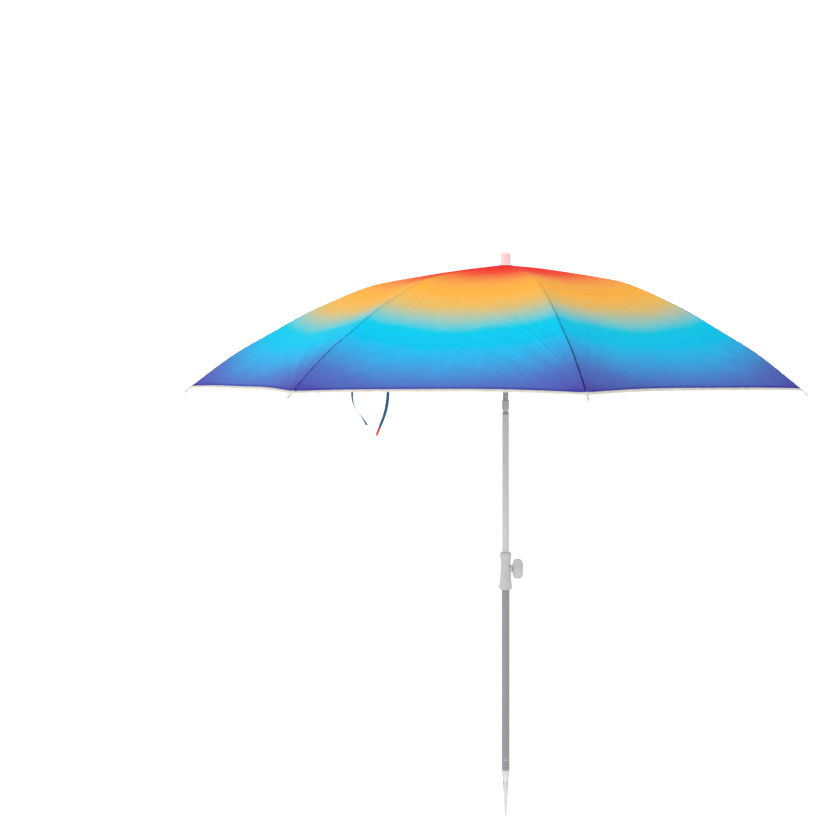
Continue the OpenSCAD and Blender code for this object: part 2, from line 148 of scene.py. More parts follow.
# ---- The canopy's surface ----
SAG = 9 * MM                            # how far a panel's middle hangs below its ribs
PUCKER = 0.6 * MM                       # height of the puckers across a seam
FOLD_HEIGHT = 1.7 * MM                  # height of the soft folds near a rib's end
DRIFT = 1.3 * MM                        # slow unevenness of a stretched panel
PUCKER_REACH = 16 * MM                  # over this distance from a seam a pucker falls to about a third
PUCKER_WAVES = (330, 517)               # radians for each metre along the seam
FOLDS_FROM_TIP = 0.13                   # the soft folds are highest this far from the rib's end
FOLDS_SPREAD = 0.11
fine_r = np.linspace(0, RIM_R + PAST_RIM, 900)
fine_steps = np.hypot(np.diff(fine_r) * math.cos(HALF), np.diff(height(fine_r)))
fine_s = np.concatenate([[0], np.cumsum(fine_steps)])


def flat_along(r):
    """Length of the fabric from the apex down the middle of a panel."""
    return np.interp(r, fine_r, fine_s)


def seam_distance(r, u):
    """Distance across a panel from its nearer seam."""
    return r * math.sin(HALF) * (1 - np.abs(u))


def surface(k, r, u, lift=0.0):
    """Points of panel k, between ribs k (u = -1) and k + 1 (u = 1); r is the radius at the ribs."""
    r, u = np.asarray(r, float), np.asarray(u, float)
    share = r / RIM_R
    from_seam = seam_distance(r, u)
    sag = SAG * (1 - u**2) * np.sin(np.minimum(share, 1) * 2.2) * 1.05
    # Puckers across the sewn seams, and long soft folds that run out from the ribs' ends
    side = np.sign(u)
    pucker = PUCKER * np.exp(-from_seam / PUCKER_REACH) * np.minimum(share * 3, 1) * (
        np.sin(r * PUCKER_WAVES[0] + 1.7 * k) + 0.6 * np.sin(r * PUCKER_WAVES[1] + 2.9 * k + side))
    from_tip = np.hypot(RIM_R - r, from_seam) + 1e-6
    fan = np.arctan2(from_seam, np.maximum(RIM_R - r, 1e-6))
    near = np.exp(-((from_tip - FOLDS_FROM_TIP) / FOLDS_SPREAD) ** 2) * np.sin(fan * 2)
    folds = FOLD_HEIGHT * np.sin(fan * 17 + 2.3 * k + side) * near
    drift = DRIFT * np.sin(7.5 * share + 1.3 * k) * np.sin(2.2 * u * (1 + share) + k) * (1 - u**2) * share
    a = azimuth(k) + HALF
    x, y = r * math.cos(HALF), r * math.sin(HALF) * u
    z = height(r) - sag + pucker + folds + drift + lift
    return np.stack([x * math.cos(a) - y * math.sin(a), x * math.sin(a) + y * math.cos(a), z], -1)


def smooth_object(name, mesh):
    """Object of a smooth-shaded mesh, in the scene."""
    mesh.polygons.foreach_set("use_smooth", [True] * len(mesh.polygons))
    obj = bpy.data.objects.new(name, mesh)
    scene.collection.objects.link(obj)
    return obj


def ring_faces(rings, spokes):
    """Faces between closed rings of points."""
    return [(i * spokes + j, i * spokes + (j + 1) % spokes, (i + 1) * spokes + (j + 1) % spokes,
             (i + 1) * spokes + j) for i in range(rings - 1) for j in range(spokes)]


def grid_mesh(name, points, flat=None, seam=None, edge=None, panel=0):
    """One sheet from an array of points, rows by columns; flat holds its cut's coordinates in metres."""
    rows, cols = points.shape[:2]
    faces = [(i * cols + j, i * cols + j + 1, (i + 1) * cols + j + 1, (i + 1) * cols + j)
             for i in range(rows - 1) for j in range(cols - 1)]
    mesh = bpy.data.meshes.new(name)
    mesh.from_pydata([tuple(p) for p in points.reshape(-1, 3)], [], faces)
    if flat is not None:
        layer = mesh.uv_layers.new(name="flat")
        loops = np.empty(len(mesh.loops), int)
        mesh.loops.foreach_get("vertex_index", loops)
        layer.data.foreach_set("uv", flat.reshape(-1, 2)[loops].ravel())
    for field, values in (("seam", seam), ("edge", edge)):
        if values is not None:
            layer = mesh.attributes.new(field, "FLOAT", "POINT")
            layer.data.foreach_set("value", values.ravel().astype(np.float32))
    if seam is not None:
        ids = np.full(len(mesh.vertices), panel * 7.3, np.float32)
        mesh.attributes.new("panel", "FLOAT", "POINT").data.foreach_set("value", ids)
    return smooth_object(name, mesh)


def make_up(obj):
    """Turns the sheet's faces so that most of them look up."""
    if sum(p.normal.z * p.area for p in obj.data.polygons) < 0:
        obj.data.flip_normals()
    return obj


def finish_piece(obj, material):
    """Gives a piece its material."""
    obj.data.materials.clear()
    obj.data.materials.append(material)
    return obj


# ---- Materials ----
def linear(hex_colour):
    """Linear colour of an sRGB hex string."""
    parts = [int(hex_colour[i:i + 2], 16) / 255 for i in (0, 2, 4)]
    return [c / 12.92 if c <= 0.04045 else ((c + 0.055) / 1.055) ** 2.4 for c in parts] + [1]


class Nodes:
    """Small builder for a node material with one Principled shader."""

    def __init__(self, name):
        self.material = bpy.data.materials.new(name)
        self.material.use_nodes = True
        self.tree = self.material.node_tree
        self.shader = self.tree.nodes["Principled BSDF"]

    def set(self, **values):
        for key, value in values.items():
            self.shader.inputs[key.replace("_", " ").title().replace("Ior", "IOR")].default_value = value
        return self

    def node(self, kind, inputs=None, **settings):
        made = self.tree.nodes.new("ShaderNode" + kind)
        for key, value in settings.items():
            setattr(made, key, value)
        for key, value in (inputs or {}).items():
            self.join(value, made.inputs[key])
        return made

    def join(self, value, socket):
        if isinstance(value, bpy.types.NodeSocket):
            self.tree.links.new(value, socket)
        else:
            socket.default_value = value

    def math(self, operation, a, b=0.0, c=0.0):
        return self.node("Math", {0: a, 1: b, 2: c}, operation=operation).outputs[0]

    def mapped(self, value, low, high, to_low=0.0, to_high=1.0, kind="SMOOTHSTEP"):
        ends = {"From Min": low, "From Max": high, "To Min": to_low, "To Max": to_high}
        return self.node("MapRange", {"Value": value, **ends}, interpolation_type=kind).outputs[0]

    def place(self):
        return self.node("TexCoord").outputs["Object"]

    def flat(self):
        return self.node("UVMap", uv_map="flat").outputs["UV"]

    def scaled(self, vector, size):
        return self.node("Mapping", {"Vector": vector, "Scale": size}).outputs[0]

    def noise(self, vector, scale, detail=3.0, roughness=0.5):
        return self.node("TexNoise", {"Vector": vector, "Scale": scale, "Detail": detail,
                                      "Roughness": roughness}).outputs["Fac"]

    def mix(self, share, a, b, blend="MIX"):
        made = self.node("Mix", data_type="RGBA", blend_type=blend)
        self.join(share, made.inputs[0])
        self.join(a, made.inputs[6])
        self.join(b, made.inputs[7])
        return made.outputs[2]

    def ramp(self, value, stops):
        made = self.node("ValToRGB", {"Fac": value})
        made.color_ramp.interpolation = "CARDINAL"
        while len(made.color_ramp.elements) < len(stops):
            made.color_ramp.elements.new(0.5)
        for element, (place, colour) in zip(made.color_ramp.elements, stops):
            element.position = place
            element.color = colour
        return made.outputs["Color"]

    def bump(self, height_value, strength, distance, under=None):
        inputs = {"Height": height_value, "Strength": strength, "Distance": distance}
        if under is not None:
            inputs["Normal"] = under
        return self.node("Bump", inputs).outputs[0]

    def out(self, colour=None, roughness=None, normal=None):
        for key, value in (("Base Color", colour), ("Roughness", roughness), ("Normal", normal)):
            if value is not None:
                self.join(value, self.shader.inputs[key])
        return self.material


CREASE_STRENGTH = 0.38                  # of the creases' bump
WEAVE_PITCH = 1.1 * MM                  # thread spacing
STITCH_FROM_SEAM = 6 * MM
STITCH_PITCH = 3.4 * MM
SEAM_PAINTED_SHADE = [0.34, 0.34, 0.42, 1]      # painted shade: darkens the dye in the fold of a seam
HEM_DYE = "34309a"                      # just above the hem's tape
DYE_LENGTH = 0.95                       # flat distance from the apex where the dye's ramp ends
# The dye's colours from the crown to the hem, each at its share of that length
DYE = [(0.0, "f01810"), (0.14, "ff2c1c"), (0.25, "ff6434"), (0.38, "ffa848"), (0.48, "fcb850"),
       (0.56, "d0c088"), (0.65, "30c8e0"), (0.75, "24b8e8"), (0.85, "4882c8"), (0.93, "4e58ac"),
       (1.0, "4040a0")]


def weave(n, flat, pitch):
    """Height of a plain weave with that thread pitch, from flat coordinates in metres."""
    parts = n.node("SeparateXYZ", {0: flat})
    warp = n.math("SINE", n.math("MULTIPLY", parts.outputs[0], 2 * math.pi / pitch))
    weft = n.math("SINE", n.math("MULTIPLY", parts.outputs[1], 2 * math.pi / pitch))
    return n.math("MULTIPLY_ADD", n.math("MULTIPLY", warp, weft), 0.5, 0.5)


def fabric_material():
    """Thin dyed polyester: the dye's colour follows the flat distance from the apex."""
    n = Nodes("canopy_fabric")
    n.set(specular_ior_level=0.06)
    flat = n.flat()
    seam = n.node("Attribute", attribute_name="seam").outputs["Fac"]
    edge = n.node("Attribute", attribute_name="edge").outputs["Fac"]
    reach = n.node("VectorMath", {0: flat}, operation="LENGTH").outputs["Value"]
    cloud = n.noise(flat, 9.0, 2.0)
    reach = n.math("MULTIPLY_ADD", n.math("SUBTRACT", cloud, 0.5), 0.03, reach)
    dye = n.ramp(n.math("DIVIDE", reach, DYE_LENGTH), [(p, linear(c)) for p, c in DYE])
    mottle = n.mapped(n.noise(flat, 60.0, 4.0), 0.3, 0.7, 0.965, 1.02, "LINEAR")
    threads = weave(n, flat, WEAVE_PITCH)
    # Random mottle, times painted shade between the threads and a faint painted highlight on their crests
    tone = n.math("MULTIPLY", mottle, n.mapped(threads, 0, 1, 0.96, 1.02, "LINEAR"))
    # A row of stitches runs on each side of the seam
    from_row = n.math("ABSOLUTE", n.math("SUBTRACT", seam, STITCH_FROM_SEAM))
    stitch_row = n.mapped(from_row, 0.3 * MM, 0.7 * MM, 1.0, 0.0)
    along = n.node("SeparateXYZ", {0: flat}).outputs[1]
    dash = n.mapped(n.math("SINE", n.math("MULTIPLY", along, 2 * math.pi / STITCH_PITCH)), -0.5, -0.1)
    stitch = n.math("MULTIPLY", stitch_row, dash)
    tone = n.math("MULTIPLY", tone, n.mapped(stitch, 0, 1, 1.0, 0.8, "LINEAR"))
    grey = n.node("CombineColor", {0: tone, 1: tone, 2: tone}).outputs[0]
    colour = n.mix(1.0, dye, grey, "MULTIPLY")
    # Painted shade in the fold of the seam: a darker copy of the same dye, more so towards the rim
    painted_seam_shade = n.mix(1.0, n.mix(1.0, dye, dye, "MULTIPLY"), SEAM_PAINTED_SHADE, "MULTIPLY")
    by_seam = n.mapped(seam, 0.8 * MM, 2.8 * MM, 1.0, 0.0)
    seam_shade_share = n.math("MULTIPLY", by_seam, n.mapped(reach, 0.34, 0.8, 0.1, 0.95))
    colour = n.mix(seam_shade_share, colour, painted_seam_shade)
    # The dye is darkest just above the hem's tape
    colour = n.mix(n.mapped(edge, 8 * MM, 15 * MM, 0.75, 0.0), colour, linear(HEM_DYE))
    rough = n.mapped(n.noise(flat, 35.0, 3.0), 0.3, 0.7, 0.68, 0.8, "LINEAR")
    normal = n.bump(threads, 0.18, 0.15 * MM)
    normal = n.bump(n.noise(flat, 140.0, 3.0), 0.16, 1.0 * MM, normal)
    # Creases fan out from the ribs' ends, and faint ones run down the panel
    from_tip = n.math("SQRT", n.math("MULTIPLY_ADD", edge, edge, n.math("MULTIPLY", seam, seam)))
    fan = n.math("ARCTAN2", seam, n.math("ADD", edge, 12 * MM))
    panel = n.node("Attribute", attribute_name="panel").outputs["Fac"]
    around, outward = n.math("MULTIPLY", fan, 15.0), n.math("MULTIPLY", from_tip, 2.2)
    fan_place = n.node("CombineXYZ", {0: around, 1: outward, 2: panel}).outputs[0]
    fan_crease = n.mapped(n.noise(fan_place, 1.0, 3.0, 0.6), 0.42, 0.62)
    fading = n.mapped(from_tip, 0.12, 0.42, 1.0, 0.0)
    near_tip = n.math("MULTIPLY", n.mapped(from_tip, 0.02, 0.09), fading)
    near_tip = n.math("MULTIPLY", near_tip, n.mapped(fan, 0.3, 0.95, 1.0, 0.25))
    across = n.math("MULTIPLY", n.node("SeparateXYZ", {0: flat}).outputs[0], 34.0)
    down = n.math("MULTIPLY", along, 2.6)
    down_place = n.node("CombineXYZ", {0: across, 1: down, 2: panel}).outputs[0]
    down_crease = n.noise(down_place, 1.0, 3.0, 0.55)
    creases = n.math("MULTIPLY_ADD", fan_crease, near_tip, n.math("MULTIPLY", down_crease, 0.8))
    normal = n.bump(creases, CREASE_STRENGTH, 4 * MM, normal)
    normal = n.bump(stitch, 0.35, 0.4 * MM, normal)
    return n.out(colour, rough, normal)


def tape_material(name, colour_a, colour_b, pitch=1.6 * MM):
    """Woven tape: a twill of fine ribs along its length."""
    n = Nodes(name)
    n.set(sheen_weight=0.2, sheen_roughness=0.5)
    flat = n.flat()
    parts = n.node("SeparateXYZ", {0: flat})
    slanted = n.math("ADD", parts.outputs[0], parts.outputs[1])
    twill = n.math("SINE", n.math("MULTIPLY", slanted, 2 * math.pi / pitch))
    cross = n.math("SINE", n.math("MULTIPLY", parts.outputs[0], 2 * math.pi / (0.8 * pitch)))
    height_value = n.math("MULTIPLY_ADD", n.math("ADD", twill, cross), 0.25, 0.5)
    dirt = n.mapped(n.noise(flat, 45.0, 4.0), 0.35, 0.75, 0.0, 1.0)
    colour = n.mix(dirt, linear(colour_a), linear(colour_b))
    # Painted shade in the twill's grooves: the tape is darker where the weave lies low
    shade = n.mapped(height_value, 0, 1, 0.86, 1.0, "LINEAR")
    grey = n.node("CombineColor", {0: shade, 1: shade, 2: shade}).outputs[0]
    normal = n.bump(height_value, 0.4, 0.3 * MM)
    return n.out(n.mix(1.0, colour, grey, "MULTIPLY"), n.mapped(dirt, 0, 1, 0.75, 0.9, "LINEAR"), normal)


def metal_material(name, colour, roughness, brushed=0.25, metallic=1.0, along=(1, 1, 0.04)):
    """Metal drawn along the pole: fine streaks, faint smudges and small scratches."""
    n = Nodes(name)
    n.set(metallic=metallic)
    place = n.place()
    streak = n.noise(n.scaled(place, along), 900.0, 3.0, 0.6)
    smudge = n.noise(place, 22.0, 4.0, 0.6)
    scratch = n.mapped(n.noise(n.scaled(place, (1, 1, 0.3)), 260.0, 5.0, 0.7), 0.62, 0.7)
    dark = [c * 0.82 for c in colour[:3]] + [1]
    tone = n.mix(n.mapped(smudge, 0.4, 0.75, 0.0, 0.6), colour, dark)
    rough = n.math("ADD", n.mapped(smudge, 0.3, 0.7, roughness * 0.85, roughness * 1.25, "LINEAR"),
                   n.math("MULTIPLY", scratch, 0.12))
    normal = n.bump(streak, brushed, 0.15 * MM)
    normal = n.bump(scratch, 0.1, 0.1 * MM, normal)
    return n.out(tone, rough, normal)


def paint_material(name, colour, roughness):
    """Powder coat on a tube: a fine orange peel with slightly worn, darker specks."""
    n = Nodes(name)
    n.set(specular_ior_level=0.5, coat_weight=0.15, coat_roughness=0.3)
    place = n.place()
    peel = n.noise(place, 700.0, 2.0)
    speck = n.mapped(n.noise(place, 420.0, 5.0, 0.75), 0.66, 0.72)
    rub = n.mapped(n.noise(n.scaled(place, (1, 1, 0.12)), 60.0, 4.0), 0.5, 0.8)
    worn = [c * 0.72 for c in colour[:3]] + [1]
    pale = [min(1, c * 1.08) for c in colour[:3]] + [1]
    tone = n.mix(n.math("MULTIPLY", speck, 0.6), n.mix(rub, colour, pale), worn)
    rough = n.mapped(rub, 0, 1, roughness, roughness * 0.75, "LINEAR")
    return n.out(tone, rough, n.bump(peel, 0.12, 0.12 * MM))


def plastic_material(name, colour, roughness, scatter=0.0, grain=0.12):
    """Moulded plastic: a fine spark-eroded grain, faint flow clouds and a little light under the skin."""
    n = Nodes(name)
    n.set(specular_ior_level=0.5, subsurface_weight=scatter, subsurface_scale=0.006)
    n.shader.inputs["Subsurface Radius"].default_value = (1.0, 0.8, 0.7)
    place = n.place()
    cloud = n.noise(place, 38.0, 3.0)
    fine = n.noise(place, 1500.0, 2.0)
    scuff = n.mapped(n.noise(n.scaled(place, (1, 1, 0.4)), 190.0, 5.0, 0.7), 0.64, 0.74)
    shade = [c * 0.93 for c in colour[:3]] + [1]
    tone = n.mix(n.mapped(cloud, 0.35, 0.7), colour, shade)
    rough = n.math("ADD", n.mapped(cloud, 0.3, 0.7, roughness * 0.9, roughness * 1.15, "LINEAR"),
                   n.math("MULTIPLY", scuff, 0.12))
    return n.out(tone, rough, n.bump(fine, grain, 0.12 * MM))


def grey(value, warm=0.0):
    """Grey colour, warmer where warm is above 0."""
    return [value + warm, value, value - warm, 1]


MATERIALS = {
    "canopy_fabric": fabric_material(),
    "binding": tape_material("binding", "dcd9d0", "c9c3b6"),
    "strap": tape_material("strap", "00628f", "004a72", 1.3 * MM),
    "lower_tube": paint_material("lower_tube", [0.195, 0.205, 0.215, 1], 0.42),
    "middle_tube": paint_material("middle_tube", [0.42, 0.435, 0.43, 1], 0.38),
    # The upper tube's and tilt parts' bright metal is given a dark grey: a painted reflection of the canopy's dark
    # underside
    "upper_tube": metal_material("upper_tube", [0.27, 0.272, 0.26, 1], 0.26),
    "tilt_metal": metal_material("tilt_metal", [0.34, 0.34, 0.325, 1], 0.3),
    "hardware": metal_material("hardware", [0.62, 0.63, 0.66, 1], 0.36, along=(1, 1, 1)),
    # The clamp and the other white plastic parts get a grey well below real white: painted shade of the canopy
    # above them
    "clamp_plastic": plastic_material("clamp_plastic", [0.43, 0.412, 0.40, 1], 0.4, 0.06),
    "white_plastic": plastic_material("white_plastic", grey(0.56, 0.006), 0.48),
    "finial_plastic": plastic_material("finial_plastic", [0.89, 0.745, 0.745, 1], 0.3, 0.3),
    "rib_steel": metal_material("rib_steel", [0.64, 0.66, 0.69, 1], 0.33, along=(1, 1, 1)),
    "rib_rod": plastic_material("rib_rod", grey(0.72), 0.42, grain=0.25),
}
for subpart in frame["record"]["subparts"]:
    node = frame["nodes"][subpart["node"]]
    node.data.materials.clear()
    node.data.materials.append(MATERIALS[subpart["material_slot"]])

# ---- The squash that would flatten a half panel towards its rib as the ribs close, worked out for each part ----
STAND_OUT = 0.055                       # how far a closed panel's middle stands out past the ribs' ends
CROSSING = 1.1                          # closed, it is aimed this much as far as the plane between two ribs
CROWN_LINE = np.array([math.hypot(CROWN.x, CROWN.y), CROWN.z])
BEND_LINE = np.array([BEND_R, BEND.z])


def turned(point, pivot, angle):
    """A point (radius, height) of a rib's plane, turned down about a pivot by an angle."""
    d = np.asarray(point, float) - pivot
    c, s = math.cos(angle), math.sin(angle)
    return pivot + np.array([d[0] * c + d[1] * s, -d[0] * s + d[1] * c])


class Fold:
    """Squash of one part of a half panel: axis and anchor are (radius, across, height) by its rib."""

    def __init__(self, start_r, end_r, outer):
        a, b = (np.array([r, float(height(r))]) for r in (start_r, end_r))
        self.outer = outer
        self.start = a
        self.along = (b - a) / np.linalg.norm(b - a)
        self.up = np.array([-self.along[1], self.along[0]])

    def middle(self, r):
        """Place of the panel's middle by the rib: (radius, height) and the distance across."""
        line = np.array([r * math.cos(HALF) ** 2, float(height(r)) - SAG])
        return line, r * math.sin(HALF) * math.cos(HALF)

    def close(self, line):
        """(radius, height) of a point of the rib's plane when the umbrella is closed."""
        if self.outer:
            line = turned(line, BEND_LINE, FLEX)
        return turned(line, CROWN_LINE, FOLD)

    def aim(self, r, across, up):
        """Sends the panel's middle at radius r to that distance across and up from the rib's chord."""
        line, reach = self.middle(r)
        u = np.array([reach, (line - self.start) @ self.up])
        v = np.array([across, up])
        way = (u - v) / np.linalg.norm(u - v)
        self.keep = float((u @ v - v @ v) / (u @ u - u @ v))
        self.axis = np.array([way[1] * self.up[0], way[0], way[1] * self.up[1]])
        self.anchor = np.array([self.start[0], 0, self.start[1]]) + 1 * MM * self.axis

    def flattened(self, line, across):
        p = np.array([line[0], across, line[1]])
        return p - ((p - self.anchor) @ self.axis) * (1 - self.keep) * self.axis

    def world(self, vector, k, side):
        """Turns (radius, across, height) into the row frame, for that side of rib k."""
        c, s = math.cos(azimuth(k)), math.sin(azimuth(k))
        return [vector[0] * c - side * vector[1] * s, vector[0] * s + side * vector[1] * c, vector[2]]

    def apply(self, obj, k, side):
        axis, anchor = self.world(self.axis, k, side), self.world(self.anchor, k, side)
        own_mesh(obj)


outer_fold = Fold(BEND_R, RIM_R, True)
outer_r = RIM_R - HEM_CUT
line = outer_fold.middle(outer_r)[0]
foot = outer_fold.start + ((line - outer_fold.start) @ outer_fold.along) * outer_fold.along
closed_foot = outer_fold.close(foot)
up_closed = outer_fold.close(foot + outer_fold.up) - closed_foot
closed_r = closed_foot[0] + STAND_OUT * up_closed[0]
outer_fold.aim(outer_r, math.tan(HALF) * closed_r * CROSSING, STAND_OUT)

# The inner part meets the outer one where the rib bends
inner_fold = Fold(LINE_R[1], BEND_R, False)
line, reach = outer_fold.middle(BEND_R)
flat_bend = outer_fold.flattened(line, reach)
target = turned(flat_bend[[0, 2]], BEND_LINE, FLEX)
inner_fold.aim(BEND_R, flat_bend[1], float((target - inner_fold.start) @ inner_fold.up))

# ---- Canopy ----
PANEL_START = 19 * MM
OVERLAP = 25 * MM                       # inner fabric that lies under the outer one at the bend
UNDER = 0.35 * MM                       # how far one layer of cloth lies under the next
DIVE = 15 * MM                          # the inner fabric goes down to that depth over this length


def half_panel(name, panel, side, r0, r1, rows, cols, lift=0.0):
    """Half of a panel, after its rib (side 1) or before it (-1); r0 and r1 are functions of u."""
    us = np.linspace(-side, 0, cols)
    share = np.linspace(0, 1, rows)[:, None]
    r = r0(us)[None, :] + share * (r1(us) - r0(us))[None, :]
    u = np.broadcast_to(us[None, :], r.shape)
    points = surface(panel, r, u, lift(r) if callable(lift) else lift)
    flat = np.stack([r * math.sin(HALF) * u, flat_along(r)], -1)
    from_hem = (hem_r(u) - r) * math.cos(HALF)
    return make_up(grid_mesh(name, points, flat, seam_distance(r, u), from_hem, panel))


def cut_size(obj):
    """Flat width and length of a sheet's cut, and its area, from its flat coordinates."""
    mesh = obj.data
    uv = np.empty(len(mesh.loops) * 2)
    mesh.uv_layers["flat"].data.foreach_get("uv", uv)
    uv = uv.reshape(-1, 2)
    area = 0.0
    for p in mesh.polygons:
        c = uv[p.loop_start:p.loop_start + p.loop_total]
        n = np.roll(c, -1, 0)
        area += abs(float((c[:, 0] * n[:, 1] - n[:, 0] * c[:, 1]).sum()) / 2)
    size = uv.max(0) - uv.min(0)
    return (float(size[0]), float(size[1])), area


def constant(value):
    """Function of u that is the same everywhere."""
    return lambda u: np.full(np.shape(u), value)


def under_outer(r):
    """Depth that takes the inner fabric just under the outer one past the bend."""
    return -UNDER * np.clip((r - BEND_R + DIVE) / DIVE, 0, 1)


TAPE_RIPPLE = 0.25 * MM
TAPE_PROFILE = [(8.0, 0.35), (7.8, 0.85), (4.0, 1.0), (0.6, 0.95), (-0.5, 0.0), (0.6, -0.95), (4.0, -1.0),
                (7.3, -0.85), (7.5, -0.35)]


def hem_tape(name, panel, side, cols):
    """White tape folded over the hem of a half panel: its profile (inward, outward) in mm swept along."""
    us = np.linspace(-side, 0, cols)
    edge = surface(panel, hem_r(us), us)
    inward = surface(panel, hem_r(us) - 4 * MM, us) - edge
    inward /= np.linalg.norm(inward, axis=1)[:, None]
    along = np.gradient(edge, axis=0)
    along /= np.linalg.norm(along, axis=1)[:, None]
    up = np.cross(inward, along)
    up *= np.sign(up[:, 2])[:, None]
    ripple = TAPE_RIPPLE * np.sin(np.cumsum(np.full(cols, 0.9)) + panel)
    points = np.stack([edge + inward * (i * MM) + up * (h * MM + np.sign(h) * np.abs(ripple))[:, None]
                       for i, h in TAPE_PROFILE])
    lengths = np.concatenate([[0], np.cumsum(np.linalg.norm(np.diff(edge, axis=0), axis=1))])
    across = np.concatenate([[0], np.cumsum(np.hypot(*np.diff(np.array(TAPE_PROFILE), axis=0).T))]) * MM
    flat = np.stack(np.broadcast_arrays(across[:, None], lengths[None, :]), -1)
    obj = grid_mesh(name, points, flat)
    return obj, (float(across[-1]), float(lengths[-1]))


def seam_tape(k):
    """Fold of sewn cloth under the seam, a little way into both panels, from the crown to the rib's end."""
    rs = np.linspace(PANEL_START + 2 * MM, RIM_R - 2 * MM, 130)
    width = np.minimum(12 * MM, 0.33 * rs)
    columns, flats = [], []
    for share in (-1, -0.5, 0, 0.5, 1):
        panel = panel_beside(k, share)
        d = abs(share) * width / (rs * math.sin(HALF))
        u = -(1 - d) if share > 0 else 1 - d
        columns.append(surface(panel, rs, u, -UNDER - 0.35 * MM))
        flats.append(np.stack([rs * math.sin(HALF) * np.sign(u) * (1 - d), flat_along(rs)], -1))
    points, flat = np.stack(columns, 1), np.stack(flats, 1)
    seam = np.full(points.shape[:2], 9 * MM)
    obj = make_up(grid_mesh(f"seam_tape_{k}", points, flat, seam, seam * 3))
    return obj, (2 * float(width.max()), float(flat_along(rs[-1]) - flat_along(rs[0])))


POCKET_HALF = 5.2 * MM                  # half of its width
POCKET_INSIDE = 7.4 * MM                # how far it reaches in from the rim
POCKET_OUTSIDE = 3 * MM                 # how far it reaches out past the rim


def tip_pocket(k):
    """Small tab of tape folded over the canopy's corner and sewn down, where the rib's end goes in."""
    rs = np.linspace(RIM_R - POCKET_INSIDE, RIM_R + POCKET_OUTSIDE, 10)
    across = np.linspace(-1, 1, 11) * POCKET_HALF
    c, s = math.cos(azimuth(k)), math.sin(azimuth(k))
    r, t = np.meshgrid(rs, across, indexing="ij")
    narrowing = 1 - 0.35 * np.clip((r - RIM_R) / POCKET_OUTSIDE, 0, 1)
    t = t * narrowing
    z = height(r) + 1.5 * MM - 0.42 * np.abs(t) - 0.3 * MM * np.cos(t / POCKET_HALF * math.pi)
    points = np.stack([r * c - t * s, r * s + t * c, z], -1)
    slope_length = float(np.hypot(rs[-1] - rs[0], height(rs[-1]) - height(rs[0])))
    flat = np.stack([t / narrowing, (r - rs[0]) / (rs[-1] - rs[0]) * slope_length], -1)
    obj = make_up(grid_mesh(f"tip_pocket_{k}", points, flat))
    thick = obj.modifiers.new("cloth", "SOLIDIFY")
    thick.thickness = 0.6 * MM
    return obj, (float(across[-1] - across[0]), slope_length)


fabric = MATERIALS["canopy_fabric"]
for k in range(1, RIBS + 1):
    for side in (1, -1):
        panel = panel_beside(k, side)
        tag = f"{k}_{'a' if side > 0 else 'b'}"
        inner = half_panel(f"canopy_inner_{tag}", panel, side, constant(PANEL_START),
                           constant(BEND_R + OVERLAP), 64, 22, under_outer)
        finish_piece(inner, fabric)
        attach(inner, f"rib_inner_{k}")
        outer = half_panel(f"canopy_outer_{tag}", panel, side, constant(BEND_R), hem_r, 84, 30)
        finish_piece(outer, fabric)
        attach(outer, f"rib_outer_{k}")
        hem, hem_size = hem_tape(f"hem_{tag}", panel, side, 44)
        finish_piece(hem, MATERIALS["binding"])
        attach(hem, f"rib_outer_{k}")
        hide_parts("hem_binding")
        for piece, fold in ((inner, inner_fold), (outer, outer_fold)):
            size, area = cut_size(piece)
            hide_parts("canopy")
            fold.apply(piece, k, side)
        outer_fold.apply(hem, k, side)
    pocket, pocket_size = tip_pocket(k)
    finish_piece(pocket, MATERIALS["binding"])
    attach(pocket, f"rib_outer_{k}")
    tape, tape_size = seam_tape(k)
    finish_piece(tape, fabric)
    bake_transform(tape)


CROWN_CLOTH_R = 24 * MM


def crown_cloth():
    """Round piece of canopy cloth under the finial, where the panels meet."""
    rings, spokes = 7, 64
    r = np.linspace(5 * MM, CROWN_CLOTH_R, rings)[:, None]
    a = np.linspace(0, 2 * math.pi, spokes + 1)[None, :-1]
    # Eight flat panels meet here, so the cloth is highest over the ribs
    off = np.abs((a - FIRST) % STEP - HALF)
    z = height(r / np.cos(HALF - off)) + 0.5 * MM
    points = np.stack(np.broadcast_arrays(r * np.cos(a), r * np.sin(a), z), -1)
    mesh = bpy.data.meshes.new("crown_cloth")
    mesh.from_pydata([tuple(p) for p in points.reshape(-1, 3)], [], ring_faces(rings, spokes))
    layer = mesh.uv_layers.new(name="flat")
    for loop in mesh.loops:
        layer.data[loop.index].uv = mesh.vertices[loop.vertex_index].co.xy
    for field in ("seam", "edge"):
        far = np.full(len(mesh.vertices), 0.02, np.float32)
        mesh.attributes.new(field, "FLOAT", "POINT").data.foreach_set("value", far)
    return make_up(smooth_object("crown_cloth", mesh))


crown = crown_cloth()
finish_piece(crown, fabric)
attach(crown, "upper_pole")

# ---- Tie straps ----
STRAP_PANEL = 3
STRAP_WIDTH = 10.5 * MM
STRAP_DROP = 1.4 * MM                   # its sewn end lies this far under the canopy's cloth
RED_FROM = 0.84                         # share of the strap's length where its red end starts


def closed_hem(panel, offset):
    """Where a point of the hem goes when the umbrella closes, in the row frame."""
    u = offset / (RIM_R * math.sin(HALF))
    rest = surface(panel, hem_r(u) - 6 * MM, u)
    side = -1 if offset > 0 else 1
    k = panel % RIBS + 1 if offset > 0 else panel
    c, s = math.cos(azimuth(k)), math.sin(azimuth(k))
    local = np.array([rest[0] * c + rest[1] * s, side * (-rest[0] * s + rest[1] * c), rest[2]])
    p = outer_fold.flattened(local[[0, 2]], local[1])
    moved = outer_fold.close(p[[0, 2]])
    return rest, np.array(outer_fold.world([moved[0], p[1], moved[1]], k, side))


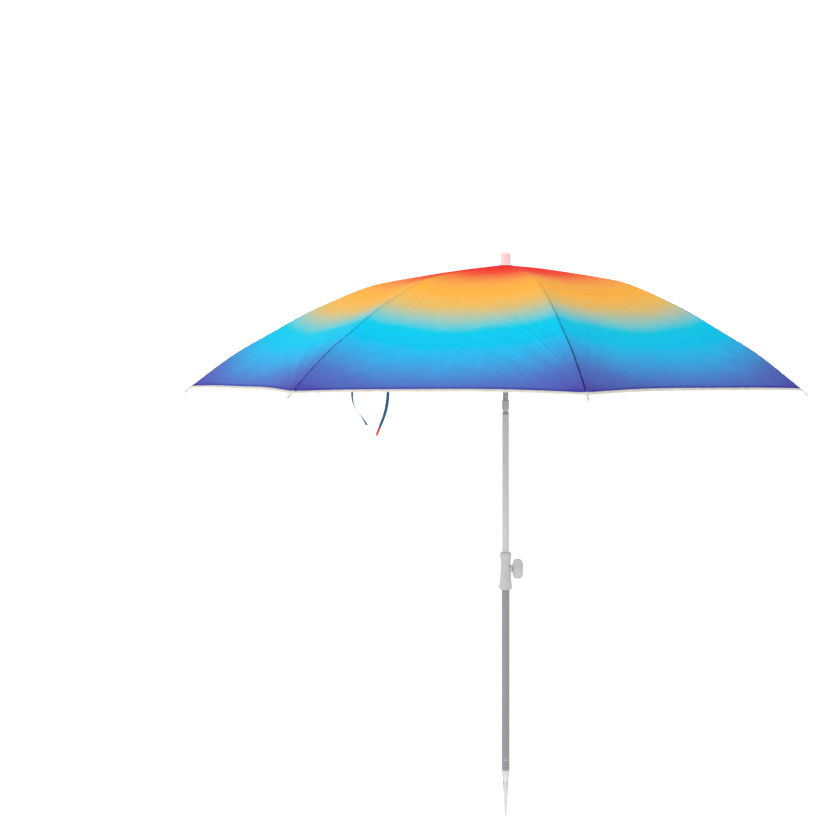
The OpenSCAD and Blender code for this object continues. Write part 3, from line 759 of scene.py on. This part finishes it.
def strap_path(length, bow, lean, turns):
    """Middle line of a strap from its sewn end, and its turning, as functions of the length along it."""
    s = np.linspace(0, 1, 46)
    x = lean * s**1.5 + bow * np.sin(s * math.pi) ** 2 * np.sign(lean)
    y = 0.4 * bow * np.sin(s * math.pi * 1.6)
    step = length / (len(s) - 1)
    dx, dy = np.diff(x), np.diff(y)
    drop = np.sqrt(np.maximum(step**2 - dx**2 - dy**2, (0.3 * step) ** 2))
    z = -np.concatenate([[0], np.cumsum(drop)])
    return s, np.stack([x, y, z], -1), turns * s**1.3


def strap(name, node, offset, length, bow, lean, turns, red_end):
    """One strap: its place along the hem, how it hangs and turns, and the piece that it is sewn to."""
    half = STRAP_WIDTH / 2
    rest, closed = closed_hem(STRAP_PANEL, offset)
    s, line, turning = strap_path(length, bow, lean, turns)
    a = azimuth(STRAP_PANEL) + HALF + turning
    flat_way = np.stack([-np.sin(a), np.cos(a), np.zeros_like(a)], -1)
    columns = [rest - np.array([0, 0, STRAP_DROP]) + line + flat_way * (share * half)[..., None]
               for share in np.linspace(-1, 1, 5)[:, None] * np.ones_like(s)]
    points = np.stack(columns, 1)
    across = np.linspace(-1, 1, 5)[None, :] * half
    flat = np.stack(np.broadcast_arrays(across, (s * length)[:, None]), -1)
    obj = grid_mesh(name, points, flat)
    finish_piece(obj, MATERIALS["strap"])
    if red_end:
        obj.data.materials.append(red_tape)
        for p in obj.data.polygons:
            if s[p.vertices[0] // 5] > RED_FROM:
                p.material_index = 1
    thick = obj.modifiers.new("cloth", "SOLIDIFY")
    thick.thickness = 0.5 * MM
    thick.offset = 0
    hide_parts(node)
    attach(obj, "upper_pole")
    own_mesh(obj)


red_tape = tape_material("red_tape", "f03a2a", "d62a20")
strap("strap_short", "tie_strap_1", 88 * MM, 0.160, -12 * MM, 46 * MM, 2.0, False)
strap("strap_long", "tie_strap_2", -48 * MM, 0.190, -6 * MM, -40 * MM, -1.3, True)

# ---- Knob: a rounded wing, thick in the middle, with fine grip ridges ----
WING_PAST_NODE = 2 * MM                 # the wing reaches this much further out than its CAD node
WING_GAP = 0.2 * MM                     # and starts this far outside the node's inner face
HUB_SPREAD = 11 * MM                    # about half the height of the thick middle
RIDGE_HEIGHT = 0.22 * MM
RIDGE_PITCH = 4.4 * MM


def squarer(wave, power):
    """Sine or cosine turned towards a squarer outline by a power below 1."""
    return np.sign(wave) * np.abs(wave) ** power


def wing_knob():
    """Wing grip in place of the CAD knob: rounded rings stacked along its height."""
    low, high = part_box("clamp_knob")
    middle = (low + high) / 2
    inner_x, outer_x = low.x + WING_GAP, high.x + WING_PAST_NODE
    half_x, half_y, half_z = (outer_x - inner_x) / 2, (high.y - low.y) / 2, (high.z - low.z) / 2
    rings, spokes = 61, 64
    turns = np.linspace(0, 2 * math.pi, spokes, endpoint=False)
    # The rings lie closer towards both ends, where they close to a small flat
    z = half_z * np.sin(np.linspace(-1, 1, rings) * 0.985 * math.pi / 2)
    share = np.abs(z) / half_z
    wide = half_x * (1 - share**3) ** (1 / 3)
    hub = 0.62 + 0.38 * np.exp(-(z / HUB_SPREAD) ** 2)
    thick = half_y * hub * (1 - share**4) ** (1 / 4)
    ridge = RIDGE_HEIGHT * np.cos(z * 2 * math.pi / RIDGE_PITCH) * (share < 0.8)
    x = (inner_x + outer_x) / 2 + (wide + ridge)[:, None] * squarer(np.cos(turns), 0.62)[None, :]
    y = middle.y + thick[:, None] * squarer(np.sin(turns), 0.8)[None, :]
    points = np.stack(np.broadcast_arrays(x, y, (middle.z + z)[:, None]), -1)
    faces = ring_faces(rings, spokes)
    faces += [tuple(range(spokes))[::-1], tuple((rings - 1) * spokes + j for j in range(spokes))]
    mesh = bpy.data.meshes.new("knob_wing")
    mesh.from_pydata([tuple(p) for p in points.reshape(-1, 3)], [], faces)
    return smooth_object("knob_wing", mesh)


knob = wing_knob()
finish_piece(knob, MATERIALS["clamp_plastic"])
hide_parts("clamp_knob")
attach(knob, "clamp_knob")

# ---- Studio ----
FLOOR_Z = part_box("ground_spike")[0].z
FLOOR_GLOW = 0.60                       # light that the floor itself gives off
SKY_LIGHT = 0.36                        # even light from all round


def backdrop():
    """Pale round floor that curves up into a low wall far away on every side."""
    wall, bend, top, spokes = 16.0, 5.0, 9.5, 96
    arc = np.linspace(0, math.pi / 2, 20)
    profile = [(0.001, 0.0), (2.0, 0.0), (6.0, 0.0)]
    profile += [(wall - bend + bend * math.sin(a), bend - bend * math.cos(a)) for a in arc] + [(wall, top)]
    turns = np.linspace(0, 2 * math.pi, spokes + 1)
    points = np.array([[(r * math.cos(a), r * math.sin(a), FLOOR_Z + z) for a in turns]
                       for r, z in profile])
    return grid_mesh("floor", points)


floor = backdrop()
floor_nodes = Nodes("studio_floor")
floor_nodes.set(roughness=0.85, specular_ior_level=0.15)
floor_nodes.shader.inputs["Emission Color"].default_value = (1, 1, 1, 1)
floor_nodes.shader.inputs["Emission Strength"].default_value = FLOOR_GLOW
floor.data.materials.append(floor_nodes.out([0.86, 0.86, 0.86, 1]))

world = bpy.data.worlds.new("studio")
world.use_nodes = True
world.node_tree.nodes["Background"].inputs["Color"].default_value = (1, 1, 1, 1)
world.node_tree.nodes["Background"].inputs["Strength"].default_value = SKY_LIGHT
scene.world = world


def softbox(name, place, target_point, size, power):
    """Rectangular area light at a place, turned to a point."""
    light = bpy.data.lights.new(name, "AREA")
    light.shape = "RECTANGLE"
    light.size, light.size_y = size
    light.energy = power
    obj = bpy.data.objects.new(name, light)
    obj.location = place
    obj.rotation_euler = (Vector(target_point) - Vector(place)).to_track_quat("-Z", "Y").to_euler()
    scene.collection.objects.link(obj)


softbox("key", (-3.6, -4.0, 3.4), (0, 0, 1.2), (3.0, 2.4), 120)
softbox("fill", (3.8, -3.2, 2.0), (0, 0, 1.1), (2.5, 2.5), 14)
softbox("top", (0.3, 0.8, 4.4), (0, 0, 1.3), (3.0, 3.0), 26)
scene.view_settings.view_transform = "Standard"
